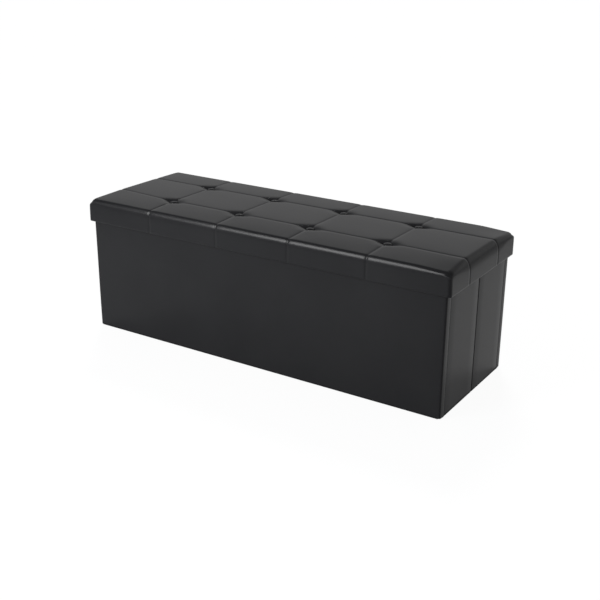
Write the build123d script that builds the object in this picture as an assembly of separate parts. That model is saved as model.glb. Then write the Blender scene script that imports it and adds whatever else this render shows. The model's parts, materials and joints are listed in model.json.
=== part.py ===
"""Folding storage ottoman bench with a lift-off tufted lid.

Millimetres, +Z up. X runs along the bench, -Y is the front. The origin is the middle of the footprint,
on the surface that the bench stands on.

The walls are boards sewn into pockets of faux leather and lining. The long front and back walls are whole
boards, and each short end is two half panels with an upright crease between them, which folds inwards until
the front wall lies against the back wall. The base board is a flap that turns up against the back wall.
"""

import os

from build123d import *

# Overall size of the lid, which is the largest outline of the bench.
LENGTH = 1100.0
DEPTH = 380.0
HEIGHT = 380.0

# Sheet and board thicknesses.
COVER_T = 1.0
LINING_T = 0.6
WALL_BOARD_T = 6.0
LID_BOARD_T = 6.0
SKIRT_BOARD_T = 4.0
BASE_BOARD_T = 3.0

# Lid levels and edges.
SKIRT_DROP = 66.0  # from the crown of the lid down to the lower edge of its skirt
SEAM_DROP = 14.0  # from the crown down to the seam between top cover and skirt cover
PAD_T = 20.4  # foam at its crown, over the lid board
PAD_CROWN = 2.5  # how much lower the pad lies along its long edges
PAD_EDGE_R = 9.0
PAD_CORNER_R = 12.0
SKIRT_CORNER_R = 4.5

# Tufting of the lid: lines of sewn channels that cross at the buttons.
COLUMN_PITCH = 222.0
COLUMN_COUNT = 4
ROW_PITCH = 168.0
ROW_COUNT = 2
CHANNEL_R = 45.0
CHANNEL_DEPTH = 5.0
DIMPLE_R = 40.0
DIMPLE_DEPTH = 10.0
BUTTON_R = 11.0
BUTTON_RISE = 6.5
BUTTON_DOME_R = 16.0
NAIL_R = 1.2
NAIL_BITE = 4.5  # depth of a button nail in the lid board
NAIL_IN_BUTTON = 2.0

# Brads that hold the skirt boards to the edge of the lid board.
BRAD_R = 0.6
BRAD_LENGTH = 16.0
BRAD_COUNT_ALONG = 6
BRAD_COUNT_ACROSS = 3
BRAD_END_SPACE = 60.0

# Folding gaps of the box.
LID_CLEARANCE = 2.4  # between the skirt lining and the walls
LID_SEAT_GAP = 0.3
HINGE_GAP = 1.2  # from a hinge line to the edge of the panel that turns about it
BEAD_CLEARANCE = 0.4  # round the sewn bead that lies on a hinge line
CORNER_WELT = 12.4  # soft corner between a long wall and the hinge line of an end panel
HEM_CLEARANCE = 1.0  # the wall boards pass this high over the base flap's tab
TAB_CLEARANCE = 0.4  # between the tab of the raised base flap and the back wall
BASE_SIDE_GAP = 2.0

# Pull tab that lifts the base flap.
TAB_W = 25.0
TAB_L = 60.0
TAB_T = 0.8

# Worked out from the sizes above.
WALL_T = COVER_T + WALL_BOARD_T + LINING_T
SKIRT_T = COVER_T + SKIRT_BOARD_T + LINING_T
OVERHANG = SKIRT_T + LID_CLEARANCE
BOX_X = LENGTH / 2 - OVERHANG  # outer faces of the end panels
BOX_Y = DEPTH / 2 - OVERHANG  # outer faces of the long walls
INNER_X = BOX_X - WALL_T
INNER_Y = BOX_Y - WALL_T
HINGE_Y = INNER_Y - CORNER_WELT
SKIRT_Z = HEIGHT - SKIRT_DROP
SEAM_Z = HEIGHT - SEAM_DROP
PAD_Z = HEIGHT - COVER_T - PAD_T
LID_BOARD_Z = PAD_Z - LID_BOARD_T
LID_UNDER_Z = LID_BOARD_Z - LINING_T
WALL_TOP_Z = LID_UNDER_Z - LID_SEAT_GAP
BASE_T = BASE_BOARD_T + 2 * LINING_T
BASE_GAP = TAB_T + TAB_CLEARANCE  # from the base hinge line to the flap and to the back wall
BASE_HINGE_Y = INNER_Y - BASE_GAP
BASE_BEAD_R = BASE_GAP - BEAD_CLEARANCE
HINGE_BEAD_R = HINGE_GAP - BEAD_CLEARANCE
HEM_H = BASE_T + TAB_T + HEM_CLEARANCE  # soft hem under the wall boards

SIDES = {"left": -1, "right": 1}
ENDS = {"rear": 1, "front": -1}


def block(x_span, y_span, z_span):
    """A box between two values along each axis, given in either order."""
    spans = [sorted(span) for span in (x_span, y_span, z_span)]
    sizes = [high - low for low, high in spans]
    middle = [(high + low) / 2 for low, high in spans]
    return Pos(*middle) * Box(*sizes)


def upright_rod(x, y, z_span, radius):
    """A round rod along Z."""
    low, high = sorted(z_span)
    return Pos(x, y, (low + high) / 2) * Cylinder(radius, high - low)


def spread(count, pitch):
    """Places of a row of things about the middle."""
    return [(i - (count - 1) / 2) * pitch for i in range(count)]


def evenly(count, half_length):
    """Places of a row of things from one end to the other."""
    return [half_length * (2 * i / (count - 1) - 1) for i in range(count)]


def panel(width):
    """A wall panel about x = 0, with its inner face on y = 0 and its outer face on y = WALL_T."""
    half = width / 2
    pocket_half = half - COVER_T
    pocket_z = (HEM_H, WALL_TOP_Z - COVER_T)
    shell = block((-half, half), (0, WALL_T), (HEM_H, WALL_TOP_Z))
    pocket = block((-pocket_half, pocket_half), (0, WALL_T - COVER_T), pocket_z)
    return {
        "board": block((-pocket_half, pocket_half), (LINING_T, WALL_T - COVER_T), pocket_z),
        "cover": shell - pocket,
        "lining": block((-pocket_half, pocket_half), (0, LINING_T), pocket_z),
        "hem": block((-half, half), (0, WALL_T), (0, HEM_H)),
    }


def placed(pieces, prefix, place):
    """The pieces of a panel at a place, under full names."""
    return {f"{prefix}_{name}": place * piece for name, piece in pieces.items()}


def corner_welts(end_name):
    """The corners that a long wall stands on, each with a sewn bead on its hinge line."""
    y_sign = ENDS[end_name]
    wall_name = "back" if end_name == "rear" else "front"
    welts = {}
    for side_name, x_sign in SIDES.items():
        x_span = (x_sign * INNER_X, x_sign * BOX_X)
        y_span = (y_sign * HINGE_Y, y_sign * INNER_Y)
        body = block(x_span, y_span, (0, WALL_TOP_Z))
        bead = upright_rod(x_sign * INNER_X, y_sign * HINGE_Y, (0, WALL_TOP_Z), HINGE_BEAD_R)
        welts[f"{wall_name}_{side_name}_corner_welt"] = body + bead
    return welts


def back_wall():
    """The wall that stays put, with its corner welts and the seam that the base flap hangs on."""
    pieces = placed(panel(2 * BOX_X), "back", Pos(0, INNER_Y, 0))
    pieces |= corner_welts("rear")
    seam_length = 2 * (INNER_X - BASE_SIDE_GAP)
    seam = Rot(0, 90, 0) * Cylinder(BASE_BEAD_R, seam_length)
    pieces["base_hinge_seam"] = Pos(0, BASE_HINGE_Y, BASE_T) * seam
    return pieces


def front_wall():
    """The wall that folds back against the other one, with its corner welts."""
    pieces = placed(panel(2 * BOX_X), "front", Pos(0, -INNER_Y, 0) * Rot(0, 0, 180))
    pieces |= corner_welts("front")
    return pieces


def end_panels():
    """Two half panels at each end, and the seam of the crease between them."""
    width = HINGE_Y - 2 * HINGE_GAP
    middle_y = HINGE_Y / 2
    pieces = {}
    for side_name, x_sign in SIDES.items():
        for end_name, y_sign in ENDS.items():
            place = Pos(x_sign * INNER_X, y_sign * middle_y, 0) * Rot(0, 0, -90 * x_sign)
            pieces |= placed(panel(width), f"{side_name}_{end_name}", place)
        seam = upright_rod(x_sign * BOX_X, 0, (HEM_H, WALL_TOP_Z), HINGE_BEAD_R)
        pieces[f"{side_name}_crease_seam"] = seam
    return pieces


def base_flap():
    """The floor of the box: a thin board between two fabrics, with a ribbon tab at its front edge."""
    half_x = INNER_X - BASE_SIDE_GAP
    y_span = (-(INNER_Y - BASE_SIDE_GAP), BASE_HINGE_Y - BASE_GAP)
    board_top = LINING_T + BASE_BOARD_T
    tab_y = -(INNER_Y - BASE_SIDE_GAP)
    return {
        "base_underlay": block((-half_x, half_x), y_span, (0, LINING_T)),
        "base_board": block((-half_x, half_x), y_span, (LINING_T, board_top)),
        "base_lining": block((-half_x, half_x), y_span, (board_top, BASE_T)),
        "base_pull_tab": block((-TAB_W / 2, TAB_W / 2), (tab_y, tab_y + TAB_L), (BASE_T, BASE_T + TAB_T)),
    }


def skirt_boards():
    """Four strips round the lid. The long ones run the whole length and have rounded outer corners."""
    out_x = LENGTH / 2 - COVER_T
    out_y = DEPTH / 2 - COVER_T
    in_x = out_x - SKIRT_BOARD_T
    in_y = out_y - SKIRT_BOARD_T
    z_span = (SKIRT_Z + COVER_T, PAD_Z)
    corner_r = SKIRT_CORNER_R - COVER_T
    strips = {}
    for name, y_sign in {"back": 1, "front": -1}.items():
        strip = block((-out_x, out_x), (y_sign * in_y, y_sign * out_y), z_span)
        uprights = strip.edges().filter_by(Axis.Z)
        outer = uprights.filter_by(lambda edge: abs(edge.center().Y) > (in_y + out_y) / 2)
        strips[f"lid_skirt_{name}_board"] = fillet(outer, corner_r)
    for name, x_sign in SIDES.items():
        strips[f"lid_skirt_{name}_board"] = block((x_sign * in_x, x_sign * out_x), (-in_y, in_y), z_span)
    return strips


def skirt_cover():
    """Leather round the skirt, turned under its lower edge."""
    full = block((-LENGTH / 2, LENGTH / 2), (-DEPTH / 2, DEPTH / 2), (SKIRT_Z, SEAM_Z))
    outside = fillet(full.edges().filter_by(Axis.Z), SKIRT_CORNER_R)
    core_x = LENGTH / 2 - COVER_T
    core_y = DEPTH / 2 - COVER_T
    core = block((-core_x, core_x), (-core_y, core_y), (SKIRT_Z + COVER_T, SEAM_Z))
    core = fillet(core.edges().filter_by(Axis.Z), SKIRT_CORNER_R - COVER_T)
    mouth_x = core_x - SKIRT_BOARD_T
    mouth_y = core_y - SKIRT_BOARD_T
    mouth = block((-mouth_x, mouth_x), (-mouth_y, mouth_y), (SKIRT_Z, SEAM_Z))
    return outside - core - mouth


def lid_lining():
    """Lining under the lid board and down the inside of the skirt boards."""
    out_x = LENGTH / 2 - COVER_T - SKIRT_BOARD_T
    out_y = DEPTH / 2 - COVER_T - SKIRT_BOARD_T
    in_x = out_x - LINING_T
    in_y = out_y - LINING_T
    tray = block((-out_x, out_x), (-out_y, out_y), (SKIRT_Z, LID_BOARD_Z))
    hollow = block((-in_x, in_x), (-in_y, in_y), (SKIRT_Z, LID_UNDER_Z))
    return tray - hollow


def rows():
    """Places of the lengthwise channels."""
    return spread(ROW_COUNT, ROW_PITCH)


def button_places():
    """Where the rows and columns of channels cross."""
    return [(x, y) for x in spread(COLUMN_COUNT, COLUMN_PITCH) for y in rows()]


def crown_z(y):
    """Height of the untufted pad's surface over a row at y."""
    return HEIGHT - PAD_CROWN * (y / (DEPTH / 2)) ** 2


def dimple_centre_z(y):
    """Height of the centre of the ball that presses a tuft."""
    return crown_z(y) - DIMPLE_DEPTH + DIMPLE_R


def tufted_pad(inset):
    """The lid's pad, taken in from its outer surface by inset all over except at its flat underside."""
    half_x = LENGTH / 2 - inset
    half_y = DEPTH / 2 - inset
    pad = block((-half_x, half_x), (-half_y, half_y), (PAD_Z, HEIGHT - inset))
    pad = fillet(pad.edges().filter_by(Axis.Z), PAD_CORNER_R - inset)
    crown_r = ((DEPTH / 2) ** 2 + PAD_CROWN**2) / (2 * PAD_CROWN)
    crown = Pos(0, 0, HEIGHT - crown_r) * Rot(0, 90, 0) * Cylinder(crown_r - inset, 2 * LENGTH)
    pad = pad & crown
    top_edges = pad.edges().filter_by(lambda edge: edge.bounding_box().min.Z > PAD_Z + PAD_T / 2)
    pad = fillet(top_edges, PAD_EDGE_R - inset)
    tools = []
    for x in spread(COLUMN_COUNT, COLUMN_PITCH):
        across = Pos(x, 0, HEIGHT - CHANNEL_DEPTH + CHANNEL_R) * Rot(90, 0, 0)
        tools.append(across * Cylinder(CHANNEL_R + inset, 2 * DEPTH))
    for y in rows():
        along = Pos(0, y, crown_z(y) - CHANNEL_DEPTH + CHANNEL_R) * Rot(0, 90, 0)
        tools.append(along * Cylinder(CHANNEL_R + inset, 2 * LENGTH))
    for x, y in button_places():
        tools.append(Pos(x, y, dimple_centre_z(y)) * Sphere(DIMPLE_R + inset))
    for tool in tools:
        pad = pad - tool
    return pad


def button():
    """One covered button, with the centre of its dimple's ball at the origin."""
    low_z = -DIMPLE_R
    seat = Sphere(DIMPLE_R)
    dome = Pos(0, 0, low_z + BUTTON_RISE - BUTTON_DOME_R) * Sphere(BUTTON_DOME_R)
    drum = Pos(0, 0, low_z + BUTTON_RISE / 2) * Cylinder(BUTTON_R, 2 * BUTTON_RISE)
    return seat & dome & drum


def tufting():
    """Buttons in their dimples and the nails that hold them down through the foam."""
    buttons = []
    nails = []
    for x, y in button_places():
        buttons.append(Pos(x, y, dimple_centre_z(y)) * button())
        seat_z = dimple_centre_z(y) - DIMPLE_R
        nails.append(upright_rod(x, y, (PAD_Z - NAIL_BITE, seat_z + NAIL_IN_BUTTON), NAIL_R))
    return buttons, nails


def brads():
    """Brads through the skirt boards into the edge of the lid board."""
    z = LID_BOARD_Z + LID_BOARD_T / 2
    out_x = LENGTH / 2 - COVER_T
    out_y = DEPTH / 2 - COVER_T
    rods = []
    for x in evenly(BRAD_COUNT_ALONG, LENGTH / 2 - BRAD_END_SPACE):
        for y_sign in ENDS.values():
            middle_y = y_sign * (out_y - BRAD_LENGTH / 2)
            rods.append(Pos(x, middle_y, z) * Rot(90, 0, 0) * Cylinder(BRAD_R, BRAD_LENGTH))
    for y in evenly(BRAD_COUNT_ACROSS, DEPTH / 2 - BRAD_END_SPACE):
        for x_sign in SIDES.values():
            middle_x = x_sign * (out_x - BRAD_LENGTH / 2)
            rods.append(Pos(middle_x, y, z) * Rot(0, 90, 0) * Cylinder(BRAD_R, BRAD_LENGTH))
    return rods


def lid():
    """Everything that lifts off: board, skirt, foam, covers, lining, buttons and fasteners."""
    board_x = LENGTH / 2 - COVER_T - SKIRT_BOARD_T
    board_y = DEPTH / 2 - COVER_T - SKIRT_BOARD_T
    buttons, nails = tufting()
    foam = tufted_pad(COVER_T)
    above_seam = block((-LENGTH, LENGTH), (-DEPTH, DEPTH), (SEAM_Z, 2 * HEIGHT))
    top_cover = (tufted_pad(0) & above_seam) - foam
    for nail in nails:
        foam = foam - nail
        top_cover = top_cover - nail
    pieces = skirt_boards()
    pieces["lid_board"] = block((-board_x, board_x), (-board_y, board_y), (LID_BOARD_Z, PAD_Z))
    pieces["lid_foam"] = foam
    pieces["lid_top_cover"] = top_cover
    pieces["lid_skirt_cover"] = skirt_cover()
    pieces["lid_lining"] = lid_lining()
    pieces["tuft_buttons"] = Compound(buttons)
    pieces["tuft_nails"] = Compound(nails)
    pieces["lid_brads"] = Compound(brads())
    return pieces


def main():
    os.makedirs("parts", exist_ok=True)
    pieces = back_wall() | front_wall() | end_panels() | base_flap() | lid()
    for name, piece in pieces.items():
        export_step(piece, f"parts/{name}.step")


main()
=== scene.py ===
"""Looks of a folding storage ottoman bench in black faux leather with a button-tufted lid.

Metres, +Z up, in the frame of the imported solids: X runs along the bench and -Y is its front.
"""

import json
import math

import bmesh
import bpy
import numpy as np
from mathutils import Matrix, Vector


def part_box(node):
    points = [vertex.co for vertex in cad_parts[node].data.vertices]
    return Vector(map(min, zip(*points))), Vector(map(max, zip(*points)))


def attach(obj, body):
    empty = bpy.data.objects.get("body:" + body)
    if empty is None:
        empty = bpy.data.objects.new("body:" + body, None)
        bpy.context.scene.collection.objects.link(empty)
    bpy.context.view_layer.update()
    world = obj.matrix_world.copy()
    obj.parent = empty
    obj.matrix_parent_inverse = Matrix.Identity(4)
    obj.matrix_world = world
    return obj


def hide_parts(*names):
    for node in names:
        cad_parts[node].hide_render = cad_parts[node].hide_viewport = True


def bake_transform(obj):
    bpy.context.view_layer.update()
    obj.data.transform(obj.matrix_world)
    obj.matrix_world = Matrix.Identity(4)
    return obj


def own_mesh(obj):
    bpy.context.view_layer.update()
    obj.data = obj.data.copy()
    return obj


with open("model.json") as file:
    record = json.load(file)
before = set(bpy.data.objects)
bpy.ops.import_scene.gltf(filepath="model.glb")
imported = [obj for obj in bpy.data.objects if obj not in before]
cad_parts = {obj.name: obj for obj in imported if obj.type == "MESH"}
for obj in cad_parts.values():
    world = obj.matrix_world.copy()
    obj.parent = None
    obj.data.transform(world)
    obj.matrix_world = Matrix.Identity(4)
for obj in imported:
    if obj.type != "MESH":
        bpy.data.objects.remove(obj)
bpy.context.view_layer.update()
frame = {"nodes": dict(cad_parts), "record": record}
MM = 0.001
ROUND_OFF = 1e-7  # a distance that counts as none
TINY = 1e-9  # keeps a divisor from being 0

# Camera, fitted to the corners of the box in the photograph. Pixels are those of its frame.
FRAME_PIXELS = 600
FOCAL_PIXELS = 994.1
CAMERA_YAW = math.radians(32.627)
CAMERA_PITCH = math.radians(20.993)
CAMERA_ROLL = math.radians(0.412)
CAMERA_DISTANCE = 2.7091
CAMERA_AIM_Z = 0.19
CAMERA_ASIDE = 0.0238
CAMERA_RAISE = -0.0541
CAMERA_REACH = 200.0  # the farthest that it sees
SENSOR_WIDTH = 36.0  # in millimetres, as the camera takes it

# Lid cushion.
ROLL_AT_ENDS = 17 * MM  # reach of the rounded edge over the top, at the short ends
ROLL_AT_SIDES = 11 * MM  # and at the long sides
DROP_AT_ENDS = 32 * MM  # height of that edge
DROP_AT_SIDES = 26 * MM
DROP_AT_CORNERS = 18 * MM
CORNER_NEAR = 28 * MM  # up to here from a corner the edge is as high as at the corner
CORNER_FAR = 110 * MM  # and from here on it has its full height
TOP_CORNER_R = 20 * MM
HEM_CORNER_R = 6 * MM
CORNER_EASE = 7 * MM  # height over which the upright corners soften towards the top
LID_PROUD = 1.3 * MM  # the cover stands this far outside its solid
TOP_RISE = {"left": 1.6 * MM, "right": -1.0 * MM}  # of the cover over its solid, at the lid's ends
CROWN = {"rear": 1.6 * MM, "front": 4.5 * MM}  # how much lower the pad's long edges lie
DROOP = {"rear": 4.5 * MM, "front": 2.5 * MM}  # further sag at its right corners
DROOP_REACH = 100 * MM
FLARE_FRONT = 2.2 * MM  # how far the hem stands out at the ends of the lid, near its front
FLARE_REAR = 0.4 * MM  # and near its back
TURNED_IN = 4.7 * MM  # from the outside of the hem to its inner edge
HEM_R = 1.5 * MM
BUTTON_R = 11 * MM
BUTTON_LIFT = 2.0 * MM  # a button stands this far over its solid, besides the rise of the cover
COLUMN_COUNT = 4
ROW_COUNT = 2
VALLEY_DEPTH = 0.6 * MM
VALLEY_WIDTH = 8 * MM
VALLEY_ON_SKIRT = 0.15  # share of its depth that a valley keeps on the skirt
VALLEY_AT_ENDS = 0.2  # and over the short ends
DIMPLE_DEPTH = 7.5 * MM
DIMPLE_ALONG = 26 * MM
DIMPLE_ACROSS = 10.5 * MM
PIT_DEPTH = 2.6 * MM  # how much deeper the cover lies close round a button
PIT_R = 14 * MM
PINCH_DEPTH = 0.6 * MM
PINCH_WIDTH = 3.6 * MM
SKIRT_SEAM_DEPTH = 0.9 * MM
SKIRT_SEAM_WIDTH = 3.4 * MM
PUFF_PRESSURE = 0.13
PUFF_FRAMES = 20
PUFF_CAP = 6 * MM  # the farthest that inflating moves a point
HELD_BELOW = 0.25  # the cover is held where its normal rises less than this
SEAM_REACH = 0.5 * MM
SEAM_NEAR = 0.5  # along seams, where seam_closeness with that width is over this
SEAM_LEAN = 0.4  # and its normal leans less than this towards the ends
SEAM_HOLD = 0.9  # how firmly it is held there, where 1 is fast
BUTTON_NEAR = 0.4  # and where button_closeness is over this
ROW_BEND = {"left": 14 * MM, "right": -4 * MM}  # of the front row of seams, at the lid's ends
ROW_BEND_FROM = 330 * MM
ROW_BEND_WIDTH = 65 * MM
GRID_STEP = 10 * MM
EDGE_STEPS = (0.15, 0.3, 0.5, 0.75, 1.0)  # grid lines down the rounded edge
SKIRT_ROWS = 6
BUTTON_SECTORS = 48
GATHERS = 12
GATHER_DEPTH = 0.022  # share of a button's radius, at its lowest level
GATHERED_LEVELS = 4
DOME_LEVELS = 5

# Leather over the walls.
WALL_PROUD = 0.8 * MM
END_PROUD = -0.15 * MM  # at the ends, whose panels lie face to face when folded
WALL_CORNER_R = 4 * MM
FOOT_LIFT = 2.2 * MM  # how far the leather is drawn up at the foot of a corner
CREASE_R = 2.4 * MM
HINGE_EDGE_R = 0.4 * MM
HEM_EDGE_R = 1.3 * MM
INNER_EDGE_R = 0.5 * MM
RIM_R = 1.2 * MM
RIM_TURN = 9 * MM  # leather turned down over the inner face
SHEET_T = 0.8 * MM
PANEL_STEP = 30 * MM  # between points along the walls
PANEL_ROWS = 13
CORNER_POINTS = 6  # round an upright edge
EDGE_ANGLES = np.radians((30, 60, 90))  # of the points over a top or lower edge
RIPPLE = 0.22 * MM
RIPPLE_SLANT = 1.3  # how much faster its waves run along the ends
WAVES_ALONG = 9.1  # in radians a metre
WAVES_UP = 11.7
SWAYS_ALONG = 5.1  # of the slower sway that shifts those waves
SWAYS_UP = 7.3
SWAY_ALONG = 2.7  # how far it shifts them, in radians
SWAY_UP = 1.9
RIPPLE_TOP = 30 * MM  # over which it grows down from the top edge
RIPPLE_CLEAR = 4 * MM  # there is none this close to a crease
RIPPLE_CREASE = 40 * MM  # and it grows over this much from there
HEM_INSET = 0.9 * MM  # the hem under a long wall ends this far short of the end panels
HEM_STEP = 0.3 * MM  # over which the wall's lower edge goes down there from the hem to the floor

# Soft hinges.
BEAD_R = 0.8 * MM  # the sewn bead on a hinge line
STRIP_STEPS = 8  # across a hinge
STRIP_ROWS = 5  # up it
CREASE_SINK = 1.3 * MM  # how far a sewn hinge lies below the leather beside it
CORNER_SINK = {"rear": 0.6 * MM, "front": 0.2 * MM}
STRIP_ROOM = 0.1 * MM
TAPE_T = 0.5 * MM
TAPE_ROOM = 0.05 * MM
TAPE_REACH = 12 * MM
TAPE_BEND_R = 1.6 * MM
FABRIC_COLUMNS = 5  # points across a tape or ribbon
RIBBON_T = 0.36 * MM
RIBBON_SHORT = 2 * MM  # how much shorter its upper layer is
STITCH_LENGTH = 3.2 * MM
STITCH_PITCH = 1.25 * STITCH_LENGTH
STITCH_R = 0.22 * MM
STITCH_MARGIN = 3.5 * MM
STITCHED_FROM = 5 * MM  # from the sewn end of the ribbon
STITCHED_TO = 24 * MM

# Stage and light.
FLOOR_REACH = 60.0
FLOOR_DROP = 0.5 * MM  # the floor lies this far under the part
FLOOR_PAINT = 0.8
FLOOR_GLOW = 0.94  # share of the floor that is plain white to the eye, the rest shows shadow
GLOSSY_GLOW = 0.22  # part of that share that reflections see
GLOSSY_PAINT = (0.38, 0.12)  # how light the rest is in reflections, near and far: painted shade that darkens the floor far off
FLOOR_FADE = (1.12, 2.2)  # where it goes from near to far, in metres from the middle
PAINTED_SHADE_WEDGE = (0.45, 0.8)  # where painted shade darkens the floor in reflections towards the viewer, as a cosine
PAINTED_SHADE_LEFT = 0.05  # share of the floor's light that this painted shade leaves there
WORLD_LEVEL = 0.75
CEILING_RISE = (0.30, 0.78)  # where the studio goes from wall to ceiling, as the sine of the height
CEILING_LEVEL = (0.53, 0.03)  # its level in reflections, on the wall and on the ceiling
HORIZON_RISE = (0.0, 0.15)
HORIZON_SHARE = (0.25, 1.0)  # of that level, at the horizon and above it
STRIP = {"place": (-1.2, -2.52, 1.9), "aim": (0, -0.19, 0.37), "size": (1.3, 1.7), "power": 82.0}
FILL = {"place": (-1.1, -2.4, 1.4), "aim": (-0.2, -0.3, 0.1), "size": (1.2, 1.2), "power": 60.0}
FILL_COLOUR = (0.9, 0.93, 1.0)
KEY_FROM = (-0.45, 0.70, 0.80)
KEY_STRENGTH = 2.6
KEY_ANGLE = math.radians(16)

SIDES = {"left": -1, "right": 1}
ENDS = {"rear": 1, "front": -1}
WALLS = {"back": 1, "front": -1}


# Mesh helpers

def linked(name, data):
    """A new object in the scene."""
    item = bpy.data.objects.new(name, data)
    bpy.context.scene.collection.objects.link(item)
    return item


def link_mesh(name, mesh, material):
    """A new object for a mesh."""
    mesh.name = name
    piece = linked(name, mesh)
    mesh.materials.clear()
    mesh.materials.append(material)
    return piece


def mesh_from(points, faces):
    """A mesh from points and faces."""
    mesh = bpy.data.meshes.new("mesh")
    mesh.from_pydata([tuple(p) for p in points], [], faces)
    mesh.validate()
    return mesh


def outward(mesh):
    """Turns the faces of a closed mesh outwards."""
    form = bmesh.new()
    form.from_mesh(mesh)
    bmesh.ops.recalc_face_normals(form, faces=form.faces)
    form.to_mesh(mesh)
    form.free()


def smooth(mesh, sharp_degrees=None):
    """Smooth shading, with edges over an angle kept sharp."""
    mesh.shade_smooth()
    if sharp_degrees:
        mesh.set_sharp_from_angle(angle=math.radians(sharp_degrees))


def applied(piece):
    """Turns a piece's modifiers into mesh."""
    bpy.context.view_layer.update()
    graph = bpy.context.evaluated_depsgraph_get()
    mesh = bpy.data.meshes.new_from_object(piece.evaluated_get(graph))
    piece.modifiers.clear()
    piece.data = mesh


def thicken(piece, thickness):
    """Turns a sheet into a thin solid, inwards from its surface."""
    solid = piece.modifiers.new("thickness", "SOLIDIFY")
    solid.thickness = thickness
    solid.offset = -1
    applied(piece)


def strip_faces(rows, columns, closed):
    """Quads of a grid of points given row by row, with its rows closed into rings or left open."""
    faces = []
    for row in range(rows - 1):
        for column in range(columns if closed else columns - 1):
            after = (column + 1) % columns
            low = row * columns
            high = low + columns
            faces.append((low + column, low + after, high + after, high + column))
    return faces


def joined(forms):
    """The points and faces of several forms together."""
    points = []
    faces = []
    for more, more_faces in forms:
        faces += [tuple(len(points) + k for k in face) for face in more_faces]
        points += more
    return points, faces


def flat_tube(name, rings, material, sharp_degrees):
    """A closed piece from rings of points that each go out along one face and back along the other."""
    count = len(rings[0])
    last = (len(rings) - 1) * count
    faces = strip_faces(len(rings), count, True)
    for i in range(count // 2 - 1):
        cap = (i, i + 1, count - 2 - i, count - 1 - i)
        faces.append(tuple(reversed(cap)))
        faces.append(tuple(last + k for k in cap))
    mesh = mesh_from([point for ring in rings for point in ring], faces)
    outward(mesh)
    smooth(mesh, sharp_degrees)
    return link_mesh(name, mesh, material)


def point_values(mesh, key):
    """The places ("co") or normals ("normal") of a mesh's points as an array."""
    flat = np.empty(len(mesh.vertices) * 3)
    mesh.vertices.foreach_get(key, flat)
    return flat.reshape(-1, 3)


def coordinates(mesh):
    """The points of a mesh as an array."""
    return point_values(mesh, "co")


def move_points(mesh, points):
    """Sets the points of a mesh."""
    mesh.vertices.foreach_set("co", points.astype(np.float32).ravel())
    mesh.update()


# Node helpers

def mapped(tree, value, start, end, low, high, course="SMOOTHSTEP"):
    """A number from low to high as a value goes from start to end, gently unless said otherwise."""
    node = tree.nodes.new("ShaderNodeMapRange")
    node.interpolation_type = course
    for key, number in zip(("From Min", "From Max", "To Min", "To Max"), (start, end, low, high)):
        node.inputs[key].default_value = number
    tree.links.new(value, node.inputs["Value"])
    return node.outputs["Result"]


def combined(tree, operation, first, second):
    """Two values, or a value and a number, multiplied or compared."""
    node = tree.nodes.new("ShaderNodeMath")
    node.operation = operation
    tree.links.new(first, node.inputs[0])
    if isinstance(second, float):
        node.inputs[1].default_value = second
    else:
        tree.links.new(second, node.inputs[1])
    return node.outputs[0]


def vector(tree, operation, first, second=None):
    """A vector node on one vector and perhaps a fixed one."""
    node = tree.nodes.new("ShaderNodeVectorMath")
    node.operation = operation
    tree.links.new(first, node.inputs[0])
    if second:
        node.inputs[1].default_value = second
    return node


def chosen(tree, factor, plain, other):
    """A fixed number, or another value where the factor is 1."""
    node = tree.nodes.new("ShaderNodeMix")
    node.data_type = "FLOAT"
    node.inputs["A"].default_value = plain
    tree.links.new(factor, node.inputs["Factor"])
    tree.links.new(other, node.inputs["B"])
    return node.outputs["Result"]


# Materials

class Shader:
    """A material with a principled shader, and short ways to add nodes to it."""

    def __init__(self, name, roughness, metallic=0.0, specular=0.5):
        self.material = bpy.data.materials.new(name)
        self.material.use_nodes = True
        self.tree = self.material.node_tree
        self.surface = self.tree.nodes["Principled BSDF"]
        self.surface.inputs["Roughness"].default_value = roughness
        self.surface.inputs["Metallic"].default_value = metallic
        self.surface.inputs["Specular IOR Level"].default_value = specular
        self.place = self.add("ShaderNodeTexCoord").outputs["Object"]

    def add(self, kind, **settings):
        node = self.tree.nodes.new(kind)
        for key, value in settings.items():
            setattr(node, key, value)
        return node

    def join(self, source, target):
        self.tree.links.new(source, target)

    def stretched(self, scale):
        """Object coordinates scaled differently along each axis."""
        mapping = self.add("ShaderNodeMapping")
        mapping.inputs["Scale"].default_value = scale
        self.join(self.place, mapping.inputs["Vector"])
        return mapping.outputs["Vector"]

    def noise(self, scale, detail=3.0, place=None):
        node = self.add("ShaderNodeTexNoise")
        node.inputs["Scale"].default_value = scale
        node.inputs["Detail"].default_value = detail
        self.join(place or self.place, node.inputs["Vector"])
        return node.outputs["Fac"]

    def cells(self, scale, place=None):
        node = self.add("ShaderNodeTexVoronoi", feature="SMOOTH_F1")
        node.inputs["Scale"].default_value = scale
        node.inputs["Smoothness"].default_value = 0.6
        self.join(place or self.place, node.inputs["Vector"])
        return node.outputs["Distance"]

    def ramp(self, value, low, high, start=0.3, end=0.7):
        """Colours from low to high as a value goes from start to end."""
        node = self.add("ShaderNodeValToRGB")
        for stop, place, colour in zip(node.color_ramp.elements, (start, end), (low, high)):
            stop.position = place
            stop.color = (*colour, 1.0)
        self.join(value, node.inputs["Fac"])
        return node.outputs["Color"]

    def span(self, value, low, high, start=0.3, end=0.7):
        """A number from low to high as a value goes from start to end."""
        return mapped(self.tree, value, start, end, low, high, course="LINEAR")

    def relief(self, heights):
        """Bumps one over the other, from (value, depth, strength)."""
        under = None
        for value, depth, strength in heights:
            node = self.add("ShaderNodeBump")
            node.inputs["Distance"].default_value = depth
            node.inputs["Strength"].default_value = strength
            self.join(value, node.inputs["Height"])
            if under:
                self.join(under, node.inputs["Normal"])
            under = node.outputs["Normal"]
        self.join(under, self.surface.inputs["Normal"])

    def colour(self, source):
        self.join(source, self.surface.inputs["Base Color"])

    def rough(self, source):
        self.join(source, self.surface.inputs["Roughness"])


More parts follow.
